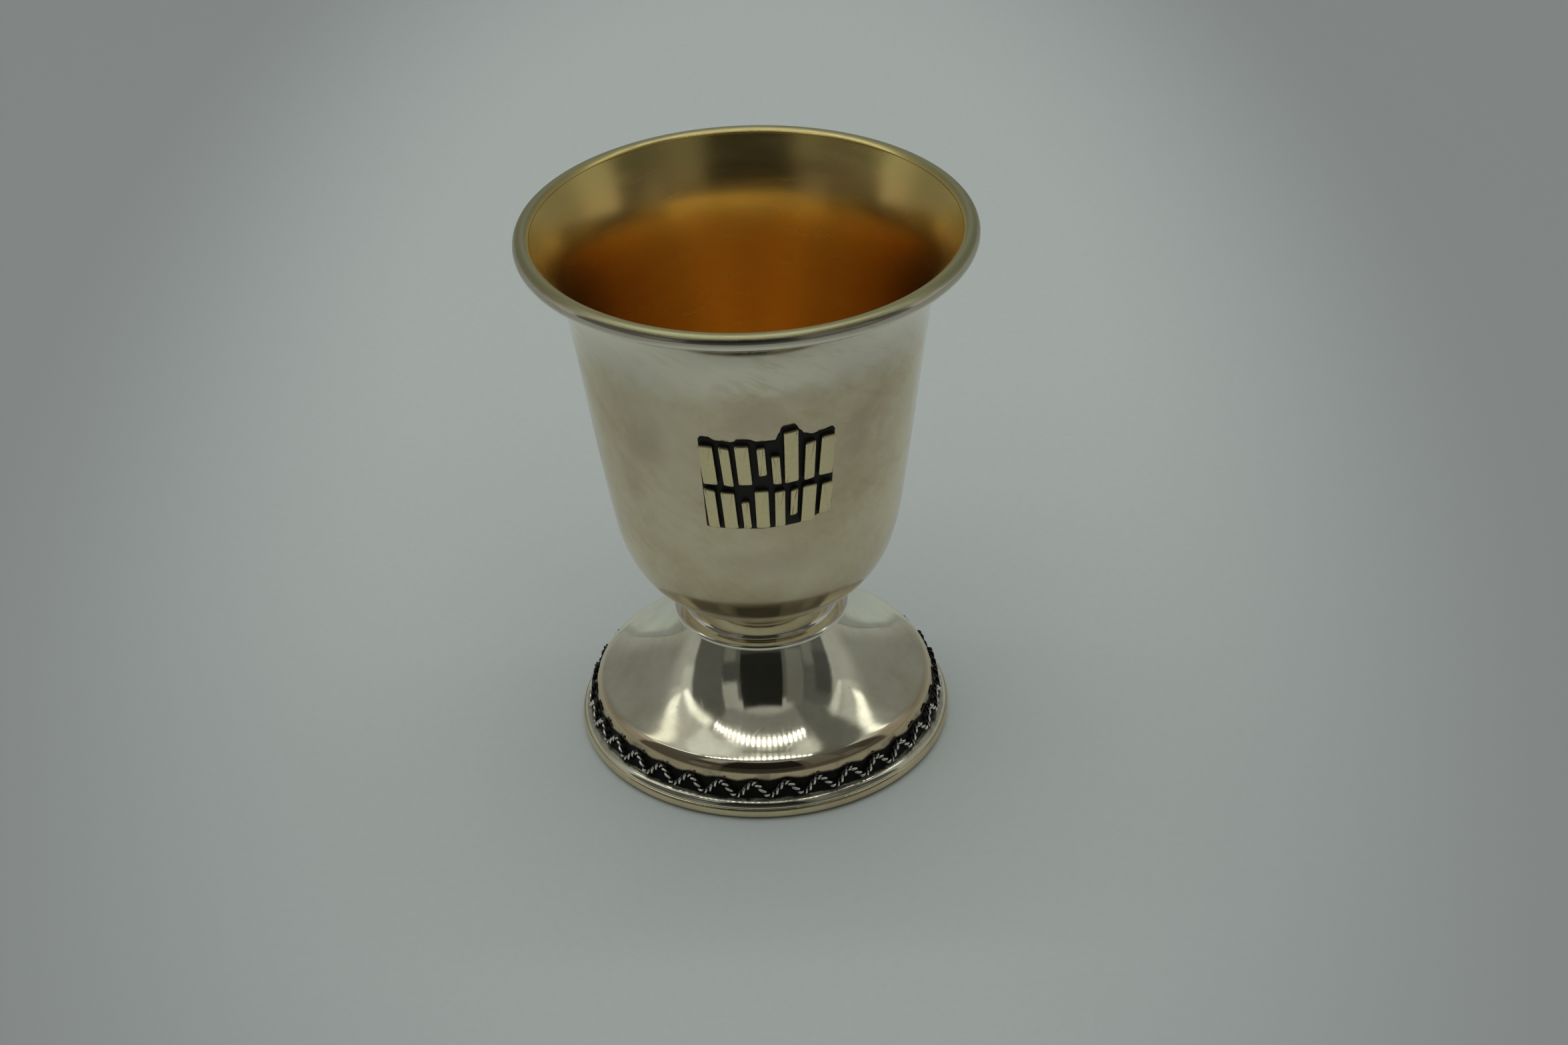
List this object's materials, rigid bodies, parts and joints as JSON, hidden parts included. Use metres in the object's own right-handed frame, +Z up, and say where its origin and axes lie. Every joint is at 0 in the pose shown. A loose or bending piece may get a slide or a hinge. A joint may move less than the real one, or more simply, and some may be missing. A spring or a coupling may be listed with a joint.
{
  "type": "footed wine cup",
  "caption": "Small footed silver wine cup, gilded inside, with a flared rolled rim, a stepped collar, a hollow trumpet foot, a twisted wire border and an applied plaque of plain strokes.",
  "frame": {"origin": "on the table at the centre of the foot, under the cup's axis", "axes": "+Z up along the cup's axis; the plaque faces -Y"},
  "size_m": [0.056, 0.056, 0.0718],
  "materials": {
    "bowl_silver": "polished sterling silver with light warm tarnish, gilded inside",
    "collar_silver": "mirror polished sterling silver",
    "foot_silver": "polished sterling silver, blackened along the border",
    "ring_silver": "polished sterling silver",
    "wire_silver": "bright twisted silver wire",
    "plaque_silver": "satin silver strokes over a blackened ground"
  },
  "bodies": {
    "root": {"bowl": "bowl_silver", "collar": "collar_silver", "foot": "foot_silver", "base_ring": "ring_silver", "wave_wire": "wire_silver", "plaque": "plaque_silver"}
  },
  "joints": []
}
